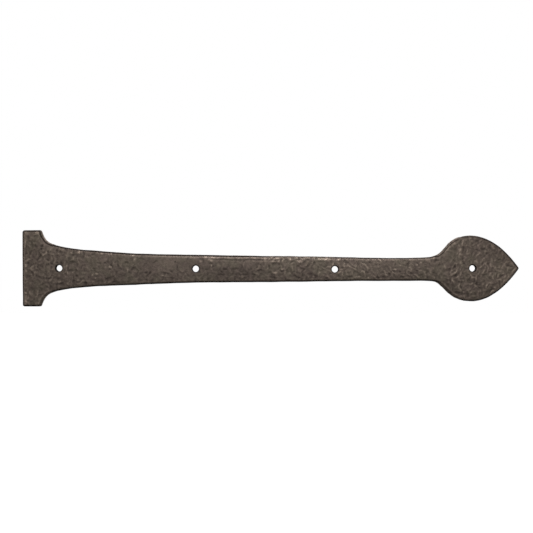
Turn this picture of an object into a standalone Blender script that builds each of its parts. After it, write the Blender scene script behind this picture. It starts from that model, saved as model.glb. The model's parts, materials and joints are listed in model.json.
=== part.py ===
"""Ornamental strap of a door hinge: one bronze casting that is screwed flat to a door.

Frame: metres, +Z up, as the strap hangs on an upright door.
    +X  from the straight butt end towards the pointed tip
    +Y  into the door: the back face lies in the plane Y = 0
    -Y  towards the room: the front face
The origin is on the back face, on the centre line, halfway along the strap.
"""

import math
from collections import namedtuple

import bmesh
import bpy
from mathutils import Matrix, Vector
from mathutils.geometry import interpolate_bezier

MM = 0.001

# Driving dimensions, in millimetres. Distances along the strap are from the butt end.
LENGTH = 457.2
THICKNESS = 4.76
HEAD_HEIGHT = 70.0
HEAD_CORNER_RADIUS = 1.5
HEAD_CORNER_STEPS = 3
FRONT_EDGE_RADIUS = 1.1
FRONT_EDGE_SEGMENTS = 3
SHARP_ANGLE = 30.0

# The upper edge, from the head's inner corner to the tip, is one smooth curve through these
# stations: the strap's height there, the edge's slope in degrees (negative runs down towards
# the tip), how far the curve keeps to that slope before and after the station, and into how
# many steps the stretch that follows is cut.
Station = namedtuple("Station", "from_butt height slope before after steps")
STATIONS = (
    Station(from_butt=16.2, height=HEAD_HEIGHT, slope=-74.0, before=0.0, after=9.9, steps=8),
    Station(from_butt=28.2, height=43.0, slope=-14.3, before=5.0, after=31.9, steps=14),
    Station(from_butt=198.5, height=24.6, slope=-0.6, before=42.2, after=75.0, steps=6),
    Station(from_butt=349.0, height=21.0, slope=0.0, before=60.0, after=32.5, steps=12),
    Station(from_butt=387.6, height=33.1, slope=44.9, before=8.2, after=5.5, steps=8),
    Station(from_butt=412.2, height=60.4, slope=0.0, before=14.0, after=15.7, steps=12),
    Station(from_butt=LENGTH, height=0.0, slope=-53.7, before=25.7, after=0.0, steps=0),
)

# Holes for quarter-inch screws. They are marked out five inches apart and drilled by hand,
# so each sits within about a millimetre of its mark.
HOLES_FROM_BUTT = (33.6, 159.5, 287.9, 414.7)
HOLE_DIAMETER = 6.35
HOLE_SIDES = 32
CUTTER_OVERRUN = 3.0

# Dark oil-rubbed patina on solid bronze, in linear colour.
PATINA_COLOUR = (0.089, 0.071, 0.058, 1.0)
PATINA_METALLIC = 0.6
PATINA_ROUGHNESS = 0.55


def clear_objects():
    """Remove whatever the open file holds."""
    for obj in list(bpy.data.objects):
        bpy.data.objects.remove(obj, do_unlink=True)


def curve_between(start, end):
    """Points of the Bezier curve from one station to the next, without its last point."""
    leave = Vector((math.cos(math.radians(start.slope)), math.sin(math.radians(start.slope))))
    arrive = Vector((math.cos(math.radians(end.slope)), math.sin(math.radians(end.slope))))
    first = Vector((start.from_butt, start.height / 2))
    last = Vector((end.from_butt, end.height / 2))
    points = interpolate_bezier(
        first,
        first + leave * start.after,
        last - arrive * end.before,
        last,
        start.steps + 1,
    )
    return [point.to_2d() for point in points[:-1]]


def corner_arc(centre, radius, from_angle, to_angle, steps):
    """Points of an arc, both ends included, with its angles in degrees."""
    points = []
    for step in range(steps + 1):
        angle = math.radians(from_angle + (to_angle - from_angle) * step / steps)
        points.append(centre + Vector((math.cos(angle), math.sin(angle))) * radius)
    return points


def upper_outline():
    """The upper half of the outline, from the butt end to the tip, above the centre line."""
    corner_centre = Vector((HEAD_CORNER_RADIUS, HEAD_HEIGHT / 2 - HEAD_CORNER_RADIUS))
    points = corner_arc(corner_centre, HEAD_CORNER_RADIUS, 180.0, 90.0, HEAD_CORNER_STEPS)
    for start, end in zip(STATIONS, STATIONS[1:]):
        points += curve_between(start, end)
    points.append(Vector((LENGTH, 0.0)))
    return points


def whole_outline():
    """The closed outline: the upper half, and the lower half as its mirror image."""
    upper = upper_outline()
    lower = [Vector((point.x, -point.y)) for point in reversed(upper[:-1])]
    return upper + lower


def patina_material():
    material = bpy.data.materials.new("patinated_bronze")
    material.use_nodes = True
    shader = material.node_tree.nodes["Principled BSDF"]
    shader.inputs["Base Color"].default_value = PATINA_COLOUR
    shader.inputs["Metallic"].default_value = PATINA_METALLIC
    shader.inputs["Roughness"].default_value = PATINA_ROUGHNESS
    return material


def strap_blank():
    """The strap without its holes: the outline extruded from the back face, with a rounded front edge."""
    shape = bmesh.new()
    corners = [
        shape.verts.new(((point.x - LENGTH / 2) * MM, 0.0, point.y * MM))
        for point in whole_outline()
    ]
    back = shape.faces.new(corners)
    if back.normal.y < 0:
        back.normal_flip()

    extruded = bmesh.ops.extrude_face_region(shape, geom=[back], use_keep_orig=True)["geom"]
    front_verts = [item for item in extruded if isinstance(item, bmesh.types.BMVert)]
    bmesh.ops.translate(shape, vec=(0.0, -THICKNESS * MM, 0.0), verts=front_verts)
    bmesh.ops.recalc_face_normals(shape, faces=shape.faces)

    in_front = set(front_verts)
    front_edges = [edge for edge in shape.edges if all(vert in in_front for vert in edge.verts)]
    bmesh.ops.bevel(
        shape,
        geom=front_edges,
        offset=FRONT_EDGE_RADIUS * MM,
        offset_type="OFFSET",
        segments=FRONT_EDGE_SEGMENTS,
        profile=0.5,
        affect="EDGES",
        clamp_overlap=True,
    )
    bmesh.ops.recalc_face_normals(shape, faces=shape.faces)

    mesh = bpy.data.meshes.new("hinge_strap")
    shape.to_mesh(mesh)
    shape.free()
    mesh.shade_smooth()
    mesh.set_sharp_from_angle(angle=math.radians(SHARP_ANGLE))
    strap = bpy.data.objects.new("hinge_strap", mesh)
    strap.data.materials.append(patina_material())
    bpy.context.scene.collection.objects.link(strap)
    return strap


def hole_cutter(name, from_butt):
    """A cylinder along Y that runs past both faces, at this distance from the butt end."""
    shape = bmesh.new()
    bmesh.ops.create_cone(
        shape,
        cap_ends=True,
        segments=HOLE_SIDES,
        radius1=HOLE_DIAMETER / 2 * MM,
        radius2=HOLE_DIAMETER / 2 * MM,
        depth=(THICKNESS + 2 * CUTTER_OVERRUN) * MM,
        matrix=Matrix.Rotation(math.radians(90.0), 4, "X"),
    )
    mesh = bpy.data.meshes.new(name)
    shape.to_mesh(mesh)
    shape.free()
    cutter = bpy.data.objects.new(name, mesh)
    cutter.location = ((from_butt - LENGTH / 2) * MM, -THICKNESS / 2 * MM, 0.0)
    cutter.hide_render = True
    cutter.display_type = "WIRE"
    bpy.context.scene.collection.objects.link(cutter)
    return cutter


def drill_holes(strap):
    for number, from_butt in enumerate(HOLES_FROM_BUTT, start=1):
        cutter = hole_cutter(f"hole_cutter_{number}", from_butt)
        cutter.parent = strap
        drill = strap.modifiers.new(f"hole_{number}", "BOOLEAN")
        drill.operation = "DIFFERENCE"
        drill.solver = "EXACT"
        drill.object = cutter


def main():
    clear_objects()
    strap = strap_blank()
    drill_holes(strap)


main()
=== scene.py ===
"""The looks of an ornamental hinge strap: a hammered bronze casting with a dark, worn patina.

The CAD solid is copied to a fine mesh, and the hammered relief is worked into that mesh in
millimetres: X along the strap from its butt end, Z above its centre line, depth from the back.
"""

import json
import math

import bpy
import numpy as np
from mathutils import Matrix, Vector


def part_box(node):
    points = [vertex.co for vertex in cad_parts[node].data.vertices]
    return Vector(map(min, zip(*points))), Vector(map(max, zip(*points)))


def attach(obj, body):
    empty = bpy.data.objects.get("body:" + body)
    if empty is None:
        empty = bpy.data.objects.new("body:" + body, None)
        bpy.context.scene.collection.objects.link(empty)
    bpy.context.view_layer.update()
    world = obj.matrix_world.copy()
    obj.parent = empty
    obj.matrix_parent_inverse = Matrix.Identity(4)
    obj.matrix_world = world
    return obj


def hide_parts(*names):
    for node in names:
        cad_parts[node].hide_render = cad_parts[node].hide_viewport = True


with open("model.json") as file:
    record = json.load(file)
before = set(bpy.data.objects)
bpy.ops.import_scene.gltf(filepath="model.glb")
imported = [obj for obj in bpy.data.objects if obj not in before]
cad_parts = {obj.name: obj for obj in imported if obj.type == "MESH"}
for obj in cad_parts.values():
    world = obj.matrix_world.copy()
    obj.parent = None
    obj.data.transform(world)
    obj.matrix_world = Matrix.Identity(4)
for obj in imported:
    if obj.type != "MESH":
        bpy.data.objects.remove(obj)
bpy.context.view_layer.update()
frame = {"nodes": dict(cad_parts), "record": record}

MM = 0.001
NODE = "hinge_strap"

# The butt end's X in metres, and the strap's length and thickness in millimetres.
box_low, box_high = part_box(NODE)
BUTT = box_low.x
LENGTH = (box_high.x - box_low.x) / MM
THICKNESS = (box_high.y - box_low.y) / MM

# The fine mesh and the shape that is worked into it, in millimetres.
VOXEL = 0.62
BACK_TOLERANCE = 0.01
HOLE_RADIUS = 3.175
HOLE_CLOSING = 0.2
HOLE_CLOSING_REACH = 9.0
EDGE_SWELL = 0.22
EDGE_SWELL_REACH = 1.5
CHAMFER_SLOPE = 0.24
CROWN_DROP = 0.75
CROWN_REACH = 11.0
CREASE_DEPTH = 0.30
COLLAR_DEPTH = 0.12
BACK_EDGE_DROP = 0.35
BACK_EDGE_REACH = 0.9
MARK_HEIGHT = 0.20

# The front's looks set in between these shares of the thickness, counted from the back.
FRONT_BEGINS = 0.70
FRONT_FULL = 0.86

# The random patterns repeat after this many cells each way.
PATTERN_CELLS = 256


# ---------------------------------------------------------------- numbers that vary over the plane

def smoothstep(low_edge, high_edge, value):
    """0 below low_edge, 1 above high_edge, and an even curve between."""
    t = np.clip((value - low_edge) / (high_edge - low_edge), 0.0, 1.0)
    return t * t * (3.0 - 2.0 * t)


def between(start, end, soft, value):
    """1 inside the stretch from start to end, fading to 0 over the soft distance outside it."""
    return smoothstep(start - soft, start, value) * (1.0 - smoothstep(end, end + soft, value))


def turned(x, z, degrees):
    """The coordinates seen from axes that are turned by this angle."""
    angle = math.radians(degrees)
    return (
        x * math.cos(angle) + z * math.sin(angle),
        z * math.cos(angle) - x * math.sin(angle),
    )


def fade(t):
    """0 at 0 and 1 at 1, and level at both ends."""
    return t * t * t * (t * (t * 6.0 - 15.0) + 10.0)


def noise(x, z, cell, seed):
    """Smooth gradient noise of about -1 to 1, with bumps about one cell across."""
    rng = np.random.default_rng(seed)
    angles = rng.uniform(0.0, 2.0 * math.pi, (PATTERN_CELLS, PATTERN_CELLS))
    u, v = turned(x, z, rng.uniform(20.0, 70.0))
    u = u / cell
    v = v / cell
    column = np.floor(u).astype(int)
    row = np.floor(v).astype(int)
    total = np.zeros_like(u)
    for i in (0, 1):
        for j in (0, 1):
            angle = angles[(column + i) % PATTERN_CELLS, (row + j) % PATTERN_CELLS]
            du = u - column - i
            dv = v - row - j
            slope = np.cos(angle) * du + np.sin(angle) * dv
            total += slope * fade(1.0 - np.abs(du)) * fade(1.0 - np.abs(dv))
    return total * 1.5


def blows(x, z, cell, seed, stretch, lean=None):
    """The scalloped surface of overlapping hammer blows: 0 in the bowls, towards 1 on the ridges.

    stretch makes each bowl longer than it is wide. lean is the direction of its long axis in
    degrees, give or take 25, or None where every bowl lies its own way.
    """
    rng = np.random.default_rng(seed)
    size = (PATTERN_CELLS, PATTERN_CELLS)
    jitter_x = rng.uniform(0.0, 1.0, size)
    jitter_z = rng.uniform(0.0, 1.0, size)
    direction = rng.uniform(0.0, math.pi, size)
    if lean is not None:
        direction = math.radians(lean) + (direction / math.pi - 0.5) * math.radians(50.0)
    height = rng.uniform(0.0, 0.35, size)
    spread = rng.uniform(0.75, 1.3, size)
    column = np.floor(x / cell).astype(int)
    row = np.floor(z / cell).astype(int)
    lowest = np.full_like(x, np.inf)
    for i in range(-2, 3):
        for j in range(-2, 3):
            a = (column + i) % PATTERN_CELLS
            b = (row + j) % PATTERN_CELLS
            dx = x / cell - (column + i + jitter_x[a, b])
            dz = z / cell - (row + j + jitter_z[a, b])
            along = dx * np.cos(direction[a, b]) + dz * np.sin(direction[a, b])
            across = dz * np.cos(direction[a, b]) - dx * np.sin(direction[a, b])
            bowl = (along / stretch) ** 2 + (across * stretch) ** 2
            lowest = np.minimum(lowest, bowl / spread[a, b] ** 2 + height[a, b])
    return np.clip(lowest, 0.0, 1.2)


# ---------------------------------------------------------------- the fine mesh

def fine_copy(node, name):
    """A new object with an even, fine mesh of the node's solid."""
    copy = bpy.data.objects.new(name, node.data.copy())
    bpy.context.scene.collection.objects.link(copy)
    remesh = copy.modifiers.new("fine", "REMESH")
    remesh.mode = "VOXEL"
    remesh.voxel_size = VOXEL * MM
    graph = bpy.context.evaluated_depsgraph_get()
    mesh = bpy.data.meshes.new_from_object(copy.evaluated_get(graph))
    copy.modifiers.clear()
    plain = copy.data
    copy.data = mesh
    bpy.data.meshes.remove(plain)
    mesh.name = name
    mesh.materials.clear()
    return copy


def vertices_and_edges(mesh):
    """The mesh's vertices as rows of x, y and z, and its edges as rows of two vertex numbers."""
    places = np.empty(len(mesh.vertices) * 3)
    mesh.vertices.foreach_get("co", places)
    edges = np.empty(len(mesh.edges) * 2, int)
    mesh.edges.foreach_get("vertices", edges)
    return places.reshape(-1, 3), edges.reshape(-1, 2)


def neighbour_mean(values, edges, times):
    """The values after each vertex has been averaged with its neighbours this many times."""
    count = len(values)
    a, b = edges.T
    degree = np.bincount(a, minlength=count) + np.bincount(b, minlength=count)
    for _ in range(times):
        total = np.bincount(a, weights=values[b], minlength=count)
        total += np.bincount(b, weights=values[a], minlength=count)
        values = 0.5 * values + 0.5 * total / degree
    return values


def hole_centres():
    """Each screw hole's distance from the butt end, from the openings that the record states."""
    boxes = [opening["box_m"] for opening in frame["record"]["physics"]["openings"]]
    return sorted(((box[0][0] + box[1][0]) / 2 - BUTT) / MM for box in boxes)


def distance_to_holes(x, z):
    """Each point's distance to the rim of the nearest screw hole."""
    gaps = [np.hypot(x - centre, z) - HOLE_RADIUS for centre in hole_centres()]
    return np.min(gaps, axis=0)


def outline_of(node):
    """The segments round the outside of the node's back face, in strap millimetres.

    An array of (x, z, x, z). The segments run anticlockwise, so the solid is on their left.
    """
    node.data.calc_loop_triangles()
    edges = set()
    for triangle in node.data.loop_triangles:
        corners = [node.data.vertices[index].co for index in triangle.vertices]
        if min(corner.y for corner in corners) < -BACK_TOLERANCE * MM:
            continue
        places = [(round((c.x - BUTT) / MM, 3), round(c.z / MM, 3)) for c in corners]
        edges.update(zip(places, places[1:] + places[:1]))
    border = np.array(sorted(a + b for a, b in edges if (b, a) not in edges))
    for centre in hole_centres():
        border = border[np.hypot(border[:, 0] - centre, border[:, 1]) > 1.5 * HOLE_RADIUS]
    ax, az, bx, bz = border.T
    if np.sum(ax * bz - bx * az) < 0.0:
        border = border[:, [2, 3, 0, 1]]
    return border


def distance_to(segments, x, z):
    """Each point's distance to the nearest segment, and that segment's outward direction."""
    ax, az, bx, bz = segments.T
    length2 = (bx - ax) ** 2 + (bz - az) ** 2
    best = np.empty_like(x)
    which = np.empty(len(x), int)
    chunk = 8000
    for start in range(0, len(x), chunk):
        px = x[start:start + chunk, None]
        pz = z[start:start + chunk, None]
        t = np.clip(((px - ax) * (bx - ax) + (pz - az) * (bz - az)) / length2, 0.0, 1.0)
        dx = px - (ax + t * (bx - ax))
        dz = pz - (az + t * (bz - az))
        gap = np.hypot(dx, dz)
        which[start:start + chunk] = gap.argmin(axis=1)
        best[start:start + chunk] = gap.min(axis=1)
    length = np.sqrt(length2)
    out_x = (bz - az) / length
    out_z = (ax - bx) / length
    return best, out_x[which], out_z[which]


# ---------------------------------------------------------------- the hammered relief
#
# Places are in millimetres: x from the butt end, z from the centre line. A stretch is stated by
# where along the strap it starts and ends, and over how far it fades at both ends.

# Dents come out a little weaker, and ridges a little stronger, than their lift.
DENT_STRENGTH = 0.9
RIDGE_STRENGTH = 1.15

# The marks that stand out on the front: dents (lift below 0) and worn ridges (lift above 0).
# Each is x, z, half length, half width, lean in degrees, lift.
HEAD_MARKS = (
    (2.1, 31.5, 1.8, 0.7, 90, 1.4), (13.7, 32.6, 1.3, 0.9, 0, 1.3), (5.4, 29.0, 1.7, 1.0, 15, -0.6),
    (2.1, 22.5, 2.4, 0.6, 90, 1.0), (2.9, 14.0, 1.6, 0.8, 90, -0.6), (6.8, 14.0, 1.6, 0.8, 90, -0.6),
    (4.6, 7.6, 2.2, 0.6, 25, 0.7), (5.0, 5.0, 2.2, 0.8, 10, -0.7), (8.1, 3.0, 1.2, 0.9, 90, -0.6),
    (2.2, 2.2, 1.8, 0.7, 90, 1.3), (3.0, -2.6, 1.6, 0.6, 10, 0.7), (8.8, -1.2, 1.2, 0.9, 45, 0.5),
    (14.3, -1.8, 2.2, 1.0, 0, -0.7), (6.4, -7.4, 1.8, 0.9, 0, -0.7), (17.9, 20.3, 1.8, 0.9, 0, -0.8),
    (17.4, 16.5, 2.4, 0.7, 95, -0.5), (16.6, 11.8, 1.8, 0.7, 60, -0.5), (14.2, 7.8, 2.6, 0.7, 65, -0.55),
    (19.1, 12.3, 1.0, 0.9, 0, 0.9), (26.7, 3.9, 0.9, 0.8, 0, -0.7), (26.8, 0.5, 1.1, 0.9, 90, -0.7),
    (23.5, -9.2, 6.5, 0.7, 2, -0.5), (34.5, -14.4, 4.2, 0.7, 0, -0.55), (34.0, -12.8, 2.4, 0.6, 0, 0.4),
    (35.5, -10.2, 3.0, 0.7, 0, -0.45), (40.8, 1.2, 2.2, 0.7, 80, 0.7), (15.9, -20.0, 1.8, 0.8, 0, -0.6),
    (2.2, -22.8, 0.8, 0.7, 0, 1.3), (3.6, -24.2, 1.7, 0.6, 0, -0.8), (2.4, -30.2, 2.0, 0.8, 90, 1.4),
    (18.0, -27.0, 2.4, 0.7, 85, -0.7), (44.5, 14.3, 2.0, 0.8, 10, 0.6),
)
ROOT_MARKS = (
    (46.8, 14.6, 1.0, 0.8, 0, -0.8), (47.0, 12.6, 1.8, 0.6, 0, -0.7), (51.7, 14.6, 1.2, 0.8, 30, 1.0),
    (45.5, 6.0, 3.2, 0.8, 0, -0.7), (64.9, 13.2, 1.3, 0.7, 0, -0.8), (72.6, 13.4, 2.2, 0.6, 5, 0.9),
    (75.6, 13.3, 1.0, 0.7, 0, -0.8), (81.9, 13.3, 1.0, 0.7, -30, 0.9), (66.1, -0.2, 1.4, 0.7, 0, -1.0),
    (64.2, -1.8, 1.2, 0.7, 0, -0.8), (45.3, -1.8, 2.4, 0.8, 0, -0.8), (49.7, -1.6, 1.0, 0.8, 0, -0.8),
    (57.0, -4.0, 2.2, 0.7, 0, 0.6), (50.0, -6.8, 1.5, 1.1, 0, -0.9), (64.1, -5.6, 1.0, 0.9, 90, 0.7),
    (68.1, -4.9, 2.0, 0.8, 10, 0.9), (67.0, -8.8, 0.9, 0.8, 0, 0.9), (46.9, -11.6, 2.2, 0.9, 90, -0.7),
    (51.0, -11.0, 2.5, 0.7, -5, 0.5), (57.9, -13.2, 1.8, 0.8, 0, -0.9), (61.6, -11.8, 5.0, 0.6, -5, 0.5),
    (77.6, -9.2, 2.6, 1.3, 0, -0.7), (80.8, 1.4, 1.6, 0.8, -25, 0.7), (82.0, 3.2, 1.3, 0.8, -35, -0.9),
    (75.6, 5.6, 1.2, 0.8, 0, -0.7), (84.1, -12.2, 2.4, 0.7, 0, -0.8), (92.6, -12.3, 4.5, 0.7, 3, -0.8),
    (97.0, -2.0, 2.0, 0.6, 90, 0.6), (98.0, -2.8, 1.2, 0.8, 90, -0.8), (96.0, 6.2, 1.3, 0.8, 0, -0.7),
    (101.7, 12.2, 1.6, 0.8, 0, 0.9), (103.3, 8.8, 2.2, 1.2, 75, 0.6), (102.5, 1.4, 1.6, 0.9, 0, -0.6),
)
BUTT_SIDE_MARKS = (
    (108.7, 9.6, 2.6, 0.9, 0, -0.5), (113.7, -3.2, 0.9, 0.8, 0, -0.8), (117.7, -3.2, 1.0, 0.8, 0, -0.8),
    (122.2, 6.6, 2.2, 0.8, 25, -0.8), (131.2, -3.6, 3.4, 0.6, -14, -0.8),
    (129.7, -6.2, 3.8, 0.6, -10, 0.6), (138.8, -8.6, 3.0, 0.6, -15, -0.7),
    (137.4, -2.8, 1.6, 0.6, -30, -0.6), (140.8, 6.6, 0.9, 0.8, 0, -0.7), (142.4, 2.0, 2.0, 0.8, 90, -0.6),
    (143.2, -5.6, 2.6, 0.8, 90, -0.5), (142.2, -9.8, 1.0, 0.7, 0, -0.7), (165.1, 9.4, 2.0, 0.6, 10, -0.9),
    (170.9, 9.4, 1.0, 0.5, 0, -0.7), (168.6, 10.6, 1.4, 0.7, 0, 1.0), (174.9, 10.2, 3.0, 0.7, -5, 0.9),
    (173.4, 8.0, 3.5, 1.0, -10, 0.7), (164.3, 6.6, 1.6, 1.0, -45, 0.6), (173.3, 4.8, 1.8, 0.6, 0, -0.9),
    (175.8, 2.6, 1.4, 0.7, 70, -0.6), (173.8, 2.9, 0.9, 0.8, 0, 0.6), (169.7, -0.6, 1.5, 1.0, 0, -0.6),
    (164.8, -9.4, 1.5, 0.7, 0, -0.7), (170.9, -9.2, 1.2, 0.9, 0, -0.7),
)
MIDDLE_MARKS = (
    (182.4, 8.9, 3.0, 0.6, 10, -0.8), (182.4, -5.2, 3.0, 0.8, 0, -0.6), (195.9, 0.4, 3.6, 0.7, 3, -0.6),
    (195.5, 9.0, 2.2, 0.6, -10, -0.8), (203.7, -5.2, 2.4, 0.8, 0, -0.8), (212.8, -5.0, 2.0, 0.7, 0, -0.8),
    (213.0, 8.6, 2.6, 0.5, -5, -0.7), (218.0, 8.9, 2.2, 0.6, -10, -0.8), (218.6, 3.0, 1.2, 0.9, 0, 0.6),
    (218.4, -1.0, 2.4, 0.7, 0, -0.7), (219.7, -4.0, 1.2, 1.0, 0, -0.8), (225.0, 8.4, 2.6, 1.3, 0, 0.6),
    (227.3, 2.6, 1.6, 0.7, -60, -0.8), (228.0, -2.8, 1.6, 0.9, 0, -0.8), (233.0, 5.4, 2.8, 0.7, 0, -1.0),
    (236.4, 4.4, 1.0, 0.8, 90, -0.8), (233.0, 3.6, 3.2, 1.8, 0, -0.4), (231.2, 7.3, 1.6, 0.7, 0, 0.9),
    (235.0, 9.7, 1.6, 0.6, 0, 1.0), (236.0, 7.0, 1.0, 0.8, 90, 0.8), (233.0, -3.4, 3.0, 0.7, -5, 0.6),
    (231.6, -7.6, 1.7, 0.7, 0, -1.0), (238.4, 9.0, 0.9, 0.7, 0, -0.9), (239.8, 7.8, 1.6, 0.8, 90, 0.7),
    (243.7, 9.0, 1.4, 0.6, 0, -0.9), (238.6, -1.8, 2.0, 0.7, -25, -0.9),
    (244.1, -1.6, 1.2, 0.8, -30, -0.9), (248.6, -2.4, 2.0, 0.8, 0, -0.7), (246.9, 9.0, 1.5, 0.8, 90, 0.9),
    (249.5, 7.4, 1.2, 0.7, 0, -0.7), (252.5, 9.9, 1.6, 0.5, 0, 0.9), (253.1, 8.9, 2.0, 0.5, 0, -0.9),
    (255.4, 7.2, 2.4, 0.8, 0, 0.9), (253.1, 3.0, 1.2, 0.9, -30, -0.8), (255.9, 1.6, 1.8, 0.7, -35, -0.9),
    (258.5, 0.6, 1.6, 0.7, -40, -0.7), (252.6, -6.6, 2.4, 0.8, -30, -0.8),
)
LEAF_SIDE_MARKS = (
    (262.9, 8.7, 1.6, 0.6, 0, -1.0), (263.1, 10.1, 1.3, 0.4, 0, 1.0), (266.3, -4.0, 1.2, 0.8, 30, -0.8),
    (270.7, -6.8, 2.0, 0.9, -35, -1.0), (273.5, -3.0, 1.4, 0.8, 60, 0.5), (268.7, 5.4, 1.2, 0.6, 0, -0.7),
    (277.1, 7.1, 2.6, 0.4, 10, -0.7), (277.1, 9.0, 4.6, 0.8, 0, 0.9), (286.0, 5.0, 1.4, 0.6, 70, 0.8),
    (291.2, 8.6, 1.2, 0.8, 0, 0.7), (296.0, 3.4, 1.0, 1.0, 45, 0.5), (294.8, 1.9, 0.9, 0.6, 0, -0.8),
    (297.4, 8.0, 1.2, 0.7, 0, -0.7), (298.2, 5.8, 1.2, 0.7, -45, -0.7),
    (291.8, -6.2, 2.2, 0.7, -30, -0.9), (300.6, -6.8, 3.0, 0.9, 0, -0.7),
    (307.8, -2.4, 1.8, 0.7, -25, -0.8), (312.0, -5.8, 2.2, 0.7, -35, -0.9),
    (313.8, 6.2, 2.0, 0.5, -5, -0.8), (320.9, 6.2, 2.0, 0.5, -15, -0.7), (317.7, -2.7, 1.7, 0.5, 0, -0.9),
    (318.9, -7.2, 0.8, 0.7, 0, 0.8), (324.7, -7.0, 1.6, 0.6, -50, 0.7), (329.8, -7.0, 4.0, 0.7, 8, -0.9),
    (334.5, -3.6, 2.2, 0.6, -55, 0.5), (338.3, -4.6, 1.8, 0.8, -50, -1.0),
    (338.5, -2.6, 1.6, 0.5, -40, 0.6), (342.3, -1.6, 1.8, 0.5, 0, -0.9), (347.1, -1.6, 1.8, 0.5, 0, -0.9),
    (343.3, 0.0, 1.6, 0.6, 0, 0.6), (350.1, -7.0, 1.6, 0.8, 0, -0.7), (352.3, 8.2, 2.6, 0.5, 0, -0.8),
    (355.2, 3.0, 1.5, 0.8, 90, -0.8), (357.6, 8.5, 1.7, 0.9, 0, 0.6), (359.6, -3.7, 2.8, 0.6, 0, -0.8),
    (364.8, -7.2, 2.2, 0.6, -50, 0.7), (363.8, -1.2, 1.4, 0.7, 0, -0.8), (367.2, -5.0, 1.8, 0.8, 0, -0.8),
    (364.2, 5.2, 1.6, 0.6, -50, -0.7), (366.8, 5.8, 0.9, 0.8, 0, 1.0), (371.4, -6.2, 2.2, 0.6, -50, -0.7),
    (373.4, -2.2, 1.8, 0.6, -45, -0.9), (370.7, -3.6, 2.8, 0.5, -50, 0.5),
    (381.0, -4.6, 2.2, 0.6, -45, -0.8), (382.0, 8.2, 2.6, 0.6, -10, -0.7),
    (389.0, 2.0, 2.6, 0.7, -70, 0.5),
)
LEAF_MARKS = (
    (391.0, 16.4, 2.0, 0.6, 50, 0.8), (393.7, 19.4, 1.6, 0.7, 30, 1.0), (398.1, 23.2, 1.4, 0.8, 45, 0.9),
    (398.7, 17.2, 2.6, 1.0, 90, -0.5), (397.5, 7.6, 2.2, 0.8, -50, -0.8), (394.9, 3.0, 1.2, 1.0, 0, -0.6),
    (393.9, -0.8, 1.3, 1.0, 90, -0.7), (398.1, 1.6, 1.4, 1.0, 90, -0.6), (399.9, -2.0, 1.4, 1.0, 90, 0.3),
    (403.1, 16.8, 1.4, 1.0, 90, 0.35), (402.9, 13.2, 1.3, 0.8, 90, 0.4),
    (406.1, 18.6, 1.6, 0.9, 70, -0.45), (404.0, 5.2, 1.0, 0.8, 0, 0.7), (405.7, 8.4, 1.6, 0.6, 90, -0.7),
    (406.9, 4.6, 1.8, 0.6, -50, -0.7), (412.9, 27.2, 1.4, 0.6, 10, 0.7), (419.1, 25.2, 2.2, 1.2, 0, -0.6),
    (417.5, 17.3, 2.8, 0.7, 3, -0.6), (424.3, 17.8, 2.4, 1.0, 0, -0.7),
    (427.1, 13.8, 2.2, 1.0, -20, -0.6), (419.9, 13.0, 1.8, 0.6, 55, 0.5), (418.4, 9.4, 2.4, 0.6, 85, 0.4),
    (432.1, 21.6, 3.4, 0.5, -35, 0.6), (440.0, 7.9, 3.2, 0.8, -5, -0.7), (444.0, 9.2, 1.0, 0.9, 0, -0.8),
    (444.2, 3.4, 1.6, 0.6, 90, 0.8), (446.2, 5.6, 1.4, 0.5, 30, 0.6), (445.5, 1.0, 1.2, 0.5, -50, 0.5),
    (447.2, 3.0, 1.6, 1.2, 0, -0.5), (451.4, 1.2, 1.2, 0.6, 0, -0.7), (453.0, -2.0, 2.4, 0.5, 45, 0.9),
    (448.8, -6.6, 2.4, 0.5, 48, 0.7), (444.2, -11.6, 2.6, 0.5, 45, 0.7),
    (433.0, -21.0, 3.0, 0.6, 35, 0.9), (440.6, -6.4, 3.2, 0.5, 0, -0.8), (435.8, -3.0, 1.0, 0.8, 0, -0.8),
    (432.0, -13.6, 1.3, 0.9, 30, 0.7), (427.6, -16.4, 1.8, 0.7, 60, 0.7),
    (421.1, -17.8, 1.8, 0.8, -10, -1.0), (418.1, -13.0, 2.2, 1.2, 90, -0.6),
    (415.1, -8.4, 1.6, 0.6, -10, 0.9), (413.2, -6.4, 1.6, 0.5, -60, 0.8),
    (411.5, -10.6, 1.8, 1.0, 0, -0.7), (404.1, -12.6, 3.0, 0.8, -10, -0.6),
    (400.5, -22.4, 4.6, 0.9, -8, -1.0), (410.1, -23.8, 3.4, 1.0, 0, -1.0),
    (406.9, -26.0, 1.6, 0.6, 90, 0.7), (428.6, -22.0, 2.0, 1.4, 90, -0.6),
    (433.2, -19.4, 2.2, 0.8, 15, -0.8),
)

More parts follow.
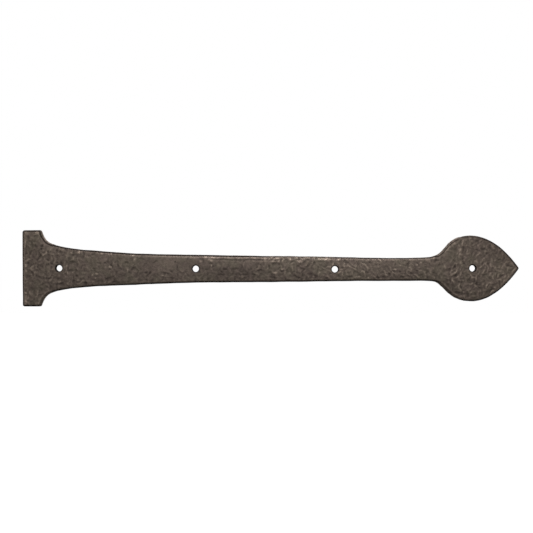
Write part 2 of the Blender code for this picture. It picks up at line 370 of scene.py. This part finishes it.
# Broad patches that are darker or lighter than the rest, written like the marks. They add no height.
BROAD_PATCHES = (
    (20.0, -16.0, 12.0, 7.0, 0, -0.16), (80.0, -7.0, 26.0, 7.0, 0, -0.12),
    (132.0, 4.0, 14.0, 6.0, 0, 0.16), (196.0, -3.0, 22.0, 7.0, 0, -0.14),
    (300.0, -1.0, 24.0, 7.0, 0, 0.10), (393.0, -17.0, 10.0, 5.0, -45, -0.36),
    (3.0, 0.0, 60.0, 3.0, 90, 0.20), (404.0, 14.0, 12.0, 5.0, 90, 0.08),
    (438.0, -5.0, 14.0, 11.0, 0, 0.18), (450.0, 0.0, 9.0, 9.0, 0, 0.14),
    (180.0, 0.0, 130.0, 60.0, 0, -0.11), (2.4, 28.0, 5.0, 2.0, 90, 0.35),
    (2.6, -28.0, 5.0, 2.4, 90, 0.40), (12.0, 21.0, 5.0, 4.0, 0, -0.12), (26.0, -9.5, 5.0, 3.0, 0, 0.14),
    (76.0, -9.5, 7.0, 2.5, 0, 0.16), (46.0, 3.0, 6.0, 6.0, 0, -0.08), (428.5, -6.4, 3.0, 3.0, 0, -0.20),
    (418.4, -15.6, 2.5, 3.0, 0, -0.18), (398.0, -12.5, 5.0, 3.0, -30, 0.16),
    (395.0, 17.0, 8.0, 4.0, 45, -0.14), (112.0, 8.0, 12.0, 4.0, 0, -0.08),
    (262.0, -1.0, 6.0, 5.0, 0, -0.10), (430.0, 22.0, 5.0, 3.0, -35, -0.18),
    (447.5, -8.5, 8.0, 1.8, 45, 0.35), (209.0, 7.0, 5.0, 3.0, 0, 0.12), (145.0, 4.0, 4.0, 5.0, 0, -0.1),
    (217.0, 9.0, 5.0, 2.0, 0, 0.15), (326.0, 6.5, 5.0, 2.5, 0, 0.12), (191.0, 10.0, 5.0, 2.0, 0, -0.12),
    (276.0, 2.0, 4.0, 3.5, 0, -0.15), (289.0, 8.0, 3.0, 2.0, 0, -0.15),
)

# The strap was straightened by hand. Each pair is a distance from the butt end, and how far the
# centre line dips below the nominal one there.
SAG = (
    (0.0, 0.0), (20.0, -0.1), (38.0, -0.1), (60.0, 0.2), (104.0, 0.75), (163.0, 0.42), (222.0, 0.7),
    (270.0, 0.85), (325.0, 1.06), (355.0, 1.05), (378.0, 0.65), (394.0, 0.05), (LENGTH, 0.0),
)


def marks_at(marks, x, z):
    """The sum of these marks' lift at each point."""
    total = np.zeros_like(x)
    for mark_x, mark_z, half_length, half_width, lean, lift in marks:
        along, across = turned(x - mark_x, z - mark_z, lean)
        total += lift * np.exp(-(along / half_length) ** 2 - (across / half_width) ** 2)
    return total


def hand_placed(x, z):
    """The marks that stand out, with edges that wander a little. About -1 to 1.7."""
    wander_x = x + 0.55 * noise(x, z, 2.4, 61)
    wander_z = z + 0.55 * noise(x, z, 2.4, 62)
    marks = HEAD_MARKS + ROOT_MARKS + BUTT_SIDE_MARKS + MIDDLE_MARKS + LEAF_SIDE_MARKS + LEAF_MARKS
    total = np.clip(marks_at(marks, wander_x, wander_z), -1.2, 1.5)
    return np.where(total < 0.0, DENT_STRENGTH * total, RIDGE_STRENGTH * total)


def front_relief(x, z):
    """Height of the hammered front over the smooth casting, in millimetres."""
    warp_x = x + 2.4 * noise(x, z, 6.0, 11)
    warp_z = z + 2.4 * noise(x, z, 6.0, 12)
    swell = 0.18 * noise(x, z, 24.0, 1)
    peen = 0.17 * (blows(warp_x, warp_z, 3.6, 2, stretch=1.3) - 0.35)
    ridges = 0.06 * (0.5 - np.abs(noise(warp_x, warp_z, 3.6, 6)) * 2.0)
    lumps = 0.12 * noise(warp_x, warp_z, 3.4, 3)
    grain = 0.030 * noise(x, z, 1.8, 4) + 0.02 * noise(x, z, 1.3, 7)
    strokes = 0.33 * (blows(warp_x, warp_z, 3.0, 5, stretch=1.7, lean=-40.0) - 0.3)
    nicks = 0.26 * (blows(warp_x, warp_z, 2.2, 9, stretch=1.6) - 0.3)
    pits = -0.12 * smoothstep(0.30, 0.60, noise(warp_x, warp_z, 2.6, 8))

    diagonal = between(282.0, 372.0, 18.0, x)
    smooth_patch = between(118.0, 168.0, 14.0, x) * smoothstep(-6.0, 2.0, z)
    smooth_bar = between(112.0, 224.0, 14.0, x)
    heavy = 0.25 * (1.0 - smoothstep(34.0, 50.0, x)) + 0.15 * between(226.0, 290.0, 8.0, x)
    leaf = between(398.0, 448.0, 8.0, x)
    strength = 1.0 - 0.5 * smooth_patch - 0.2 * smooth_bar + heavy
    strength = strength - leaf * (0.12 + 0.24 * np.tanh(z / 6.0))
    coarse = (1.0 - diagonal) * peen + diagonal * strokes
    coarse = coarse + (1.0 - 0.6 * diagonal) * (lumps + ridges) + pits
    return swell + strength * coarse + leaf * nicks + grain


def back_relief(x, z):
    """Height of the back over its plane, in millimetres. It is rough, and never above the plane."""
    sand = 0.07 * noise(x, z, 2.4, 32) + 0.04 * noise(x, z, 1.4, 33)
    swell = 0.10 * noise(x, z, 13.0, 31)
    return -np.abs(sand + swell)


def sag(x):
    """How far the centre line dips at each distance from the butt end."""
    stations, dips = zip(*SAG)
    return np.interp(x, stations, dips)


def chamfer_width(x, z):
    """Width of the hammered-down edge: broad along the strap's top, narrow elsewhere."""
    strap = between(60.0, 372.0, 25.0, x)
    upper = smoothstep(-2.0, 2.0, z)
    wander = noise(x, np.zeros_like(x), 9.0, 21)
    broad = 0.5 * strap + 1.1 * between(155.0, 285.0, 12.0, x)
    return 1.3 + 0.5 * strap + upper * broad * (1.0 + 0.5 * wander)


def edge_wear_and_painted_light(x, z):
    """How much lighter the edge is made, from 0 to 1: rubbed wear through the patina, with painted
    highlight along the top edges and painted light from below on the lower walls.
    """
    upper = smoothstep(-1.0, 2.0, z)
    head_flank = (1.0 - 0.5 * upper) * between(18.0, 26.0, 3.0, x)
    # Lighter along the top edges: rubbed wear, and painted highlight where the edge faces the light.
    bar_top = between(96.0, 372.0, 16.0, x) * (0.35 + 0.5 * between(128.0, 230.0, 12.0, x))
    shoulder = 0.30 * between(384.0, 402.0, 3.0, x)
    # below_shoulder and tip_below: painted light on the lower walls, standing in for light from below.
    below_shoulder = 0.75 * between(386.0, 403.0, 3.0, x) * (1.0 - upper)
    butt_end = 1.0 - smoothstep(3.0, 5.0, x)
    tip_below = 0.9 * between(427.0, 455.0, 4.0, x) * (1.0 - upper)
    wear_and_painted_light = head_flank + upper * (bar_top + shoulder) + below_shoulder + butt_end + tip_below
    return 0.12 + 0.88 * np.clip(wear_and_painted_light, 0.0, 1.0)


def outline_swell(x, z):
    """How many millimetres the edge lies outside the drawn outline, along X and along Z."""
    above = smoothstep(-1.0, 1.0, z)
    flanks = 0.45 * between(15.0, 27.0, 5.0, x)
    shoulder_above = above * between(381.0, 390.0, 5.0, x)
    shoulder_below = (1.0 - above) * between(387.0, 391.0, 4.0, x)
    shoulders = 0.40 * (shoulder_above + shoulder_below)
    tip = 0.50 * smoothstep(425.0, 446.0, x)
    tilt = 0.10 * smoothstep(0.0, 20.0, z) - 0.22 * smoothstep(8.0, 30.0, -z)
    butt_end = (0.20 + tilt) * (1.0 - smoothstep(2.0, 4.0, x))
    bar_below = 0.17 * between(45.0, 378.0, 10.0, x) * (1.0 - above)
    uneven_top = 0.28 * between(250.0, 300.0, 14.0, x) - 0.30 * between(42.0, 54.0, 10.0, x)
    uneven_top += 0.55 * between(394.0, 401.0, 3.0, x) - 0.12 * between(386.0, 390.0, 3.0, x)
    uneven_bottom = 0.20 * between(78.0, 104.0, 10.0, x) + 0.30 * between(417.0, 428.0, 6.0, x)
    uneven_bottom += 0.30 * between(383.0, 386.0, 2.0, x) + 0.20 * between(394.0, 398.0, 3.0, x)
    uneven = above * uneven_top + (1.0 - above) * uneven_bottom
    even = EDGE_SWELL + shoulders + tip - bar_below + uneven
    flanks_along_z = flanks * (1.0 - smoothstep(31.0, 34.5, np.abs(z)))
    return even + flanks + butt_end, even + flanks_along_z


def line_inset(x, z):
    """How far inside the edge the dark line starts: it leaves the edge along the hollow curves."""
    flanks = 0.9 * between(15.0, 26.0, 4.0, x) * (1.0 - smoothstep(32.0, 34.5, np.abs(z)))
    shoulders = 1.1 * between(384.0, 400.0, 5.0, x)
    return flanks + shoulders


def line_width(x, z):
    """Width of the dark line round the front: dark patina at the arris, and painted shade on the rounded
    edge.
    """
    above = smoothstep(-1.0, 1.0, z)
    head_top = 0.45 * smoothstep(31.0, 33.5, z)
    bar_top = 0.20 * between(34.0, 200.0, 12.0, x) - 0.25 * between(290.0, 372.0, 12.0, x)
    flanks = (0.25 + 0.25 * (1.0 - above)) * between(15.0, 26.0, 4.0, x)
    shoulders = 0.45 * between(384.0, 402.0, 5.0, x)
    leaf_top = 0.6 * between(406.0, 424.0, 6.0, x)
    butt_end = 0.20 * (1.0 - smoothstep(2.0, 4.0, x))
    head_bottom = 0.35 * smoothstep(31.0, 33.5, -z)
    tip_below = 0.25 * smoothstep(422.0, 430.0, x) * (1.0 - above)
    base = 0.95 - flanks - shoulders - butt_end + head_bottom - tip_below
    return base + 0.08 * noise(x, z, 5.0, 51) + above * (head_top + bar_top + leaf_top)


def line_strength(x, z):
    """How black the dark line is, from 0 to 1."""
    above = smoothstep(-1.0, 1.0, z)
    shoulders = between(388.0, 402.0, 5.0, x)
    flanks = between(15.0, 25.0, 4.0, x)
    leaf = between(405.0, 422.0, 5.0, x)
    head_top = smoothstep(31.0, 33.5, z)
    bare_top = between(230.0, 283.0, 8.0, x)
    faint_above = 0.12 + 0.15 * shoulders + 0.20 * leaf + 0.1 * head_top + 0.45 * bare_top
    faint_below = 0.55 * flanks + 0.60 * shoulders
    return 1.0 - (above * faint_above + (1.0 - above) * faint_below)


# ---------------------------------------------------------------- working the fine mesh

def crease_depth(x, z, rim, width):
    """Depth of the broken groove just inside the broad edge, along the top of the bar."""
    upper = smoothstep(-1.0, 2.0, z)
    groove = np.exp(-((rim - width - 0.4) / 0.55) ** 2)
    crease = CREASE_DEPTH * groove * upper * between(180.0, 224.0, 10.0, x)
    return crease * smoothstep(-0.45, 0.25, noise(x, z, 7.0, 22))


def front_shift(rim, hole_rim, width, relief, crease):
    """How far the front stands out from its flat plane: crowned, with its edges hammered down."""
    chamfer = CHAMFER_SLOPE * width * (1.0 - np.clip(rim / width, 0.0, 1.0)) ** 1.2
    crown = CROWN_DROP * (1.0 - np.clip(rim / CROWN_REACH, 0.0, 1.0)) ** 2
    collar = COLLAR_DEPTH * np.exp(-np.maximum(hole_rim, 0.0) / 0.7)
    calm = 1.0 - 0.85 * np.exp(-(rim / 1.4) ** 2)
    return relief * calm - chamfer - crown - collar - crease


def uneven_places(x, z, rim, out_x, out_z):
    """The points' x and z once the edge is swollen and ragged, the strap sags and the holes close."""
    swell_x, swell_z = outline_swell(x, z)
    ragged = 0.14 * noise(x, z, 15.0, 41) + 0.03 * noise(x, z, 5.0, 42)
    ragged = ragged * (0.3 + 0.7 * smoothstep(3.0, 10.0, x))
    near_rim = np.exp(-rim / EDGE_SWELL_REACH)
    new_x = x + out_x * (swell_x + ragged) * near_rim
    new_z = z + out_z * (swell_z + ragged) * near_rim - sag(x)
    for centre in hole_centres():
        radius = np.hypot(x - centre, z)
        closing = HOLE_CLOSING * np.exp(-np.maximum(radius - HOLE_RADIUS, 0.0))
        closing = closing * (radius < HOLE_CLOSING_REACH)
        new_x -= (x - centre) / radius * closing
        new_z -= z / radius * closing
    return new_x, new_z


def store(mesh, measures):
    """Keep these values on the vertices, where the material reads them by name."""
    for name, values in measures.items():
        layer = mesh.attributes.new(name, "FLOAT", "POINT")
        layer.data.foreach_set("value", values.astype(np.float32))


def work_the_casting(obj):
    """Hammer the fine mesh: crown, edges, blows and a rough back. Stores what the patina needs."""
    places, edges = vertices_and_edges(obj.data)
    x = (places[:, 0] - BUTT) / MM
    z = places[:, 2] / MM
    depth = -places[:, 1] / MM
    frontness = np.clip(depth / THICKNESS, 0.0, 1.0)
    on_front = smoothstep(FRONT_BEGINS, FRONT_FULL, frontness)

    hole_rim = distance_to_holes(x, z)
    rim, out_x, out_z = distance_to(outline_of(frame["nodes"][NODE]), x, z)
    out_x = neighbour_mean(out_x, edges, 4)
    out_z = neighbour_mean(out_z, edges, 4)

    marks = hand_placed(x, z)
    relief = front_relief(x, z) + MARK_HEIGHT * marks
    width = chamfer_width(x, z)
    crease = crease_depth(x, z, rim, width)
    rough_back = back_relief(x, z)
    back_shift = BACK_EDGE_DROP * np.clip(1.0 - rim / BACK_EDGE_REACH, 0.0, 1.0) ** 2 - rough_back

    new_x, new_z = uneven_places(x, z, rim, out_x, out_z)
    new_depth = depth + frontness * front_shift(rim, hole_rim, width, relief, crease)
    new_depth = new_depth + (1.0 - frontness) * back_shift
    places[:, 0] = BUTT + new_x * MM
    places[:, 1] = -new_depth * MM
    places[:, 2] = new_z * MM
    obj.data.vertices.foreach_set("co", places.ravel())

    surface = on_front * (relief - crease) + (1.0 - on_front) * rough_back
    sharp_cavity = neighbour_mean(surface, edges, 1) - neighbour_mean(surface, edges, 8)
    broad_cavity = neighbour_mean(surface, edges, 4) - neighbour_mean(surface, edges, 40)
    placed = on_front * (0.50 * marks + marks_at(BROAD_PATCHES, x, z))
    on_rim = 1.0 - smoothstep(0.5, 1.6, rim)
    lead = rim - line_inset(x, z)
    # The edge band stores rubbed wear with painted light, and the line measures give the dark line, part
    # patina and part painted shade.
    store(obj.data, {
        "high_spots": np.clip(0.5 + 2.4 * sharp_cavity + 1.6 * broad_cavity + placed, 0.0, 1.0),
        "wear_and_painted_light": edge_wear_and_painted_light(x, z) * np.maximum(on_front, on_rim),
        "line_lead": lead,
        "line_trail": lead - line_width(x, z),
        "line_strength": line_strength(x, z) * (1.0 - 0.3 * np.clip(marks, 0.0, 1.0)),
        "frontness": frontness,
        "hole_rim": hole_rim,
    })
    obj.data.shade_smooth()
    obj.data.update()


# ---------------------------------------------------------------- the patina

# Linear colours. The brown runs from the hollows to the high spots.
BROWN = (
    (0.0, (0.031, 0.022, 0.017)),
    (0.3, (0.061, 0.046, 0.037)),
    (0.6, (0.099, 0.076, 0.060)),
    (1.0, (0.203, 0.159, 0.126)),
)
VIOLET_BLUSH = (0.101, 0.073, 0.063)
OLIVE_DRIFT = (0.096, 0.083, 0.058)
# Rubbed bronze on the edges, also painted highlight on the top edges and painted light on the lower
# walls.
RUBBED_AND_LIT_FRONT = (0.16, 0.124, 0.102)
RUBBED_AND_LIT_SIDE = (0.22, 0.172, 0.14)
DULL_SIDE = (0.060, 0.046, 0.038)
# The dark line round the front: dark patina at the arris, and painted shade on the rounded edge.
BLACK_LINE = (0.016, 0.011, 0.008)
# Painted shade inside the screw holes: near-black, with no metal or reflection.
HOLE_WALL_SHADE = (0.008, 0.006, 0.005)


class Nodes:
    """Short calls that add nodes to a material and link them."""

    def __init__(self, material):
        material.use_nodes = True
        self.tree = material.node_tree
        self.shader = self.tree.nodes["Principled BSDF"]

    def add(self, kind, **settings):
        node = self.tree.nodes.new(kind)
        for key, value in settings.items():
            setattr(node, key, value)
        return node

    def link(self, source, target):
        self.tree.links.new(source, target)

    def attribute(self, name):
        """A measure that is stored on the vertices."""
        return self.add("ShaderNodeAttribute", attribute_name=name).outputs["Fac"]

    def noise(self, size_mm, detail=3.0, roughness=0.6, distortion=0.0):
        """Noise in the strap's own space, with bumps of this size."""
        node = self.add("ShaderNodeTexNoise")
        node.inputs["Scale"].default_value = 1.0 / (size_mm * MM)
        node.inputs["Detail"].default_value = detail
        node.inputs["Roughness"].default_value = roughness
        node.inputs["Distortion"].default_value = distortion
        self.link(self.add("ShaderNodeTexCoord").outputs["Object"], node.inputs["Vector"])
        return node.outputs["Fac"]

    def math(self, operation, a, b, c=0.0, clamp=False):
        """The result of this operation. Each of a, b and c is a number or another node's output."""
        node = self.add("ShaderNodeMath", operation=operation, use_clamp=clamp)
        for socket, value in zip(node.inputs, (a, b, c)):
            if isinstance(value, float):
                socket.default_value = value
            else:
                self.link(value, socket)
        return node.outputs[0]

    def fit(self, value, from_low, from_high, to_low, to_high):
        """The value moved from one range to another, and kept inside it."""
        node = self.add("ShaderNodeMapRange")
        node.inputs["From Min"].default_value = from_low
        node.inputs["From Max"].default_value = from_high
        node.inputs["To Min"].default_value = to_low
        node.inputs["To Max"].default_value = to_high
        self.link(value, node.inputs["Value"])
        return node.outputs[0]

    def ramp(self, value, stops):
        """The colour that these stops give for the value. The first stop is at 0."""
        node = self.add("ShaderNodeValToRGB")
        elements = node.color_ramp.elements
        elements.remove(elements[1])
        elements[0].color = (*stops[0][1], 1.0)
        for position, colour in stops[1:]:
            element = elements.new(position)
            element.color = (*colour, 1.0)
        self.link(value, node.inputs["Fac"])
        return node.outputs["Color"]

    def mix(self, factor, a, b):
        """Colour a where the factor is 0 and b where it is 1. Each is a colour or a node's output."""
        node = self.add("ShaderNodeMix", data_type="RGBA")
        self.link(factor, node.inputs[0])
        for socket, value in ((node.inputs[6], a), (node.inputs[7], b)):
            if isinstance(value, tuple):
                socket.default_value = (*value, 1.0)
            else:
                self.link(value, socket)
        return node.outputs[2]


def patina():
    """Dark oil-rubbed bronze: brown in the hollows, tan on the high spots, a black line round the front
    that is part dark patina and part painted shade, lighter edges of rubbed wear and painted light, and
    painted shade in the holes.
    """
    material = bpy.data.materials.new("patinated_bronze_finish")
    n = Nodes(material)
    front = n.fit(n.attribute("frontness"), FRONT_BEGINS, FRONT_FULL, 0.0, 1.0)
    hole = n.fit(n.attribute("hole_rim"), 0.35, 1.0, 1.0, 0.0)
    mottle = n.noise(3.4, detail=4.0, distortion=0.6)
    drift = n.noise(14.0, detail=2.0)
    blush = n.noise(9.0, detail=2.0, distortion=0.4)
    fine = n.noise(0.9, roughness=0.7)

    # The dark line round the front, part dark patina and part painted shade on the rounded edge, and the
    # band just inside it, lighter from rubbed wear and painted highlight.
    trail = n.attribute("line_trail")
    line_starts = n.fit(n.attribute("line_lead"), -0.4, 0.0, 0.0, 1.0)
    line = n.math("MULTIPLY", line_starts, n.fit(trail, 0.0, 0.6, 1.0, 0.0))
    # Painted shade on the rounded front edge, on top of dark patina at the arris.
    dark_line_patina_and_shade = n.math("MULTIPLY", n.math("MULTIPLY", line, front), n.attribute("line_strength"))
    band = n.math("MULTIPLY", n.fit(trail, 0.0, 0.8, 0.0, 1.0), n.fit(trail, 1.0, 2.2, 1.0, 0.0))
    off_front = n.math("SUBTRACT", 1.0, front)
    arris_wear_and_light = n.math("MULTIPLY", n.attribute("wear_and_painted_light"), n.math("MULTIPLY_ADD", band, front, off_front))

    # The brown metal, from hollow to high spot.
    tone = n.math("MULTIPLY_ADD", n.math("SUBTRACT", mottle, 0.5), 0.6, n.attribute("high_spots"))
    tone = n.math("MULTIPLY_ADD", n.math("SUBTRACT", fine, 0.5), 0.5, tone, clamp=True)
    brown = n.ramp(tone, BROWN)

    # The front's tints, the rubbed edge with its painted highlight, and the dark line with its painted
    # shade.
    violet = n.mix(n.fit(blush, 0.50, 0.66, 0.0, 0.32), brown, VIOLET_BLUSH)
    olive = n.mix(n.fit(drift, 0.48, 0.64, 0.0, 0.34), violet, OLIVE_DRIFT)
    patchy_arris_wear_and_light = n.math("MULTIPLY", arris_wear_and_light, n.fit(mottle, 0.36, 0.60, 0.15, 0.75))
    rubbed_and_lit = n.mix(patchy_arris_wear_and_light, olive, RUBBED_AND_LIT_FRONT)
    outlined = n.mix(n.math("MULTIPLY", dark_line_patina_and_shade, 0.93), rubbed_and_lit, BLACK_LINE)

    # The sides and the back, with rubbed wear and painted light on the walls, and then the walls of the
    # holes, painted near-black with no reflection as painted shade.
    dull = n.mix(n.fit(mottle, 0.35, 0.65, 0.25, 0.0), brown, DULL_SIDE)
    sides = n.mix(arris_wear_and_light, dull, RUBBED_AND_LIT_SIDE)
    metal = n.mix(front, sides, outlined)
    n.link(n.mix(hole, metal, HOLE_WALL_SHADE), n.shader.inputs["Base Color"])
    roughness = n.math("MAXIMUM", n.fit(tone, 0.0, 1.0, 0.62, 0.40), dark_line_patina_and_shade)
    n.link(roughness, n.shader.inputs["Roughness"])
    n.link(n.fit(hole, 0.0, 1.0, 0.7, 0.0), n.shader.inputs["Metallic"])
    n.link(n.fit(hole, 0.0, 1.0, 0.5, 0.0), n.shader.inputs["Specular IOR Level"])

    bump = n.add("ShaderNodeBump")
    bump.inputs["Strength"].default_value = 0.6
    bump.inputs["Distance"].default_value = 0.0002
    n.link(n.math("ADD", fine, mottle), bump.inputs["Height"])
    n.link(bump.outputs["Normal"], n.shader.inputs["Normal"])
    return material


# ---------------------------------------------------------------- floor, light and camera

# All in metres and watts. Each softbox has its place, its width and height, and its power.
SOFTBOXES = {
    "key_above": ((0.0, -0.75, 0.95), (1.2, 0.4), 16.6),
    "front_fill": ((0.0, -1.2, 0.05), (0.8, 0.8), 4.5),
    "back_above": ((0.2, 0.8, 0.9), (1.2, 0.6), 14.0),
    "back_wall": ((0.0, 1.0, 0.0), (2.4, 1.6), 8.0),
}
AMBIENT_LIGHT = 0.22
WHITE = (1.0, 1.0, 1.0, 1.0)
FLOOR_DROP = 0.30
FLOOR_HALF = 4.0

# The camera's place from the strap's middle along X and Z, and how far it is from the front.
CAMERA_X = -0.0038
CAMERA_Z = 0.0017
CAMERA_DISTANCE = 0.6815


def white_surround():
    """A world that looks white and lights the strap with a dim, even grey."""
    world = bpy.data.worlds.new("studio")
    bpy.context.scene.world = world
    world.use_nodes = True
    tree = world.node_tree
    tree.nodes.clear()
    seen = tree.nodes.new("ShaderNodeBackground")
    seen.inputs["Color"].default_value = WHITE
    lighting = tree.nodes.new("ShaderNodeBackground")
    lighting.inputs["Color"].default_value = WHITE
    lighting.inputs["Strength"].default_value = AMBIENT_LIGHT
    rays = tree.nodes.new("ShaderNodeLightPath")
    choose = tree.nodes.new("ShaderNodeMixShader")
    out = tree.nodes.new("ShaderNodeOutputWorld")
    tree.links.new(rays.outputs["Is Camera Ray"], choose.inputs[0])
    tree.links.new(lighting.outputs[0], choose.inputs[1])
    tree.links.new(seen.outputs[0], choose.inputs[2])
    tree.links.new(choose.outputs[0], out.inputs[0])


def pale_floor():
    """A plain white floor well below the strap. Only the camera sees it, so it throws no light up."""
    half = FLOOR_HALF
    mesh = bpy.data.meshes.new("floor")
    corners = [(-half, -half, 0.0), (half, -half, 0.0), (half, half, 0.0), (-half, half, 0.0)]
    mesh.from_pydata(corners, [], [(0, 1, 2, 3)])
    floor = bpy.data.objects.new("floor", mesh)
    floor.location.z = -FLOOR_DROP
    bpy.context.scene.collection.objects.link(floor)
    material = bpy.data.materials.new("floor_white")
    material.use_nodes = True
    shader = material.node_tree.nodes["Principled BSDF"]
    shader.inputs["Base Color"].default_value = (0.9, 0.9, 0.9, 1.0)
    shader.inputs["Roughness"].default_value = 0.9
    shader.inputs["Emission Color"].default_value = WHITE
    shader.inputs["Emission Strength"].default_value = 1.0
    mesh.materials.append(material)
    floor.visible_diffuse = False
    floor.visible_glossy = False
    floor.visible_shadow = False


def softbox(name, place, size, watts):
    """A rectangular area light that the camera doesn't see, aimed at the strap's middle."""
    light = bpy.data.lights.new(name, "AREA")
    light.shape = "RECTANGLE"
    light.size, light.size_y = size
    light.energy = watts
    lamp = bpy.data.objects.new(name, light)
    lamp.location = place
    aim = Vector((0.0, 0.0, 0.0)) - Vector(place)
    lamp.rotation_euler = aim.to_track_quat("-Z", "Y").to_euler()
    lamp.visible_camera = False
    bpy.context.scene.collection.objects.link(lamp)


def camera():
    """Square on to the front, level with the strap, at the distance where a 50 mm lens frames it."""
    data = bpy.data.cameras.new("camera")
    data.lens = 50.0
    data.sensor_width = 36.0
    data.clip_start = 0.01
    data.clip_end = 50.0
    cam = bpy.data.objects.new("camera", data)
    cam.location = (CAMERA_X, box_low.y - CAMERA_DISTANCE, CAMERA_Z)
    cam.rotation_euler = (math.radians(90.0), 0.0, 0.0)
    bpy.context.scene.collection.objects.link(cam)
    bpy.context.scene.camera = cam


def main():
    camera()
    white_surround()
    pale_floor()
    for name, (place, size, watts) in SOFTBOXES.items():
        softbox(name, place, size, watts)
    bpy.context.scene.view_settings.view_transform = "Standard"
    bpy.context.scene.view_settings.look = "None"

    casting = fine_copy(frame["nodes"][NODE], "hammered_strap")
    work_the_casting(casting)
    casting.data.materials.append(patina())
    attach(casting, "root")
    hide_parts(NODE)


main()
